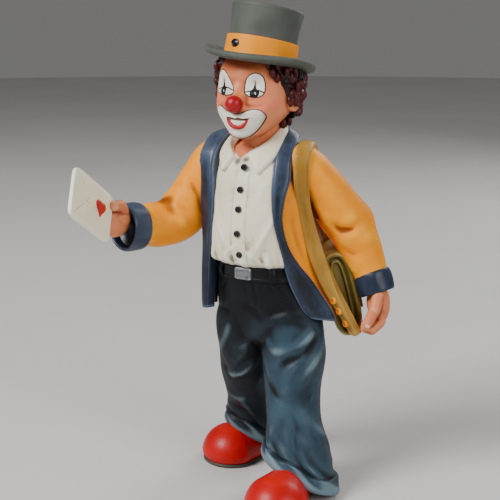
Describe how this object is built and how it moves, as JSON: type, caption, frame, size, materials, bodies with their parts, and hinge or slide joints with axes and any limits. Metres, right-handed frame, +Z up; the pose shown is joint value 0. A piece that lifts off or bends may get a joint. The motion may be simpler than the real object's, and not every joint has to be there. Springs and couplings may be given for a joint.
{
  "type": "clown figurine",
  "caption": "Standing clown figurine in a top hat and open jacket, holding out a letter, with a satchel at the hip; one painted resin casting on two flat-soled shoes.",
  "frame": {"origin": "middle of the plan of the bounding box, on the plane that the soles stand on", "axes": "+Z up, the figure looks toward -Y, its own left hand is on +X"},
  "size_m": [0.1056, 0.1241, 0.1999],
  "materials": {
    "painted_resin": "hand painted, satin",
    "hat_grey": "eggshell paint",
    "orange_cloth": "satin paint",
    "navy_cloth": "satin paint with dry-brushed folds",
    "cream_cloth": "satin paint",
    "skin": "satin paint",
    "face_white": "satin paint",
    "red_gloss": "gloss paint",
    "hair": "gloss paint",
    "black_paint": "gloss paint",
    "silver_paint": "satin paint",
    "strap_tan": "satin paint",
    "bag_olive": "satin paint"
  },
  "bodies": {
    "root": {"clown_figure": "painted_resin"}
  },
  "joints": []
}
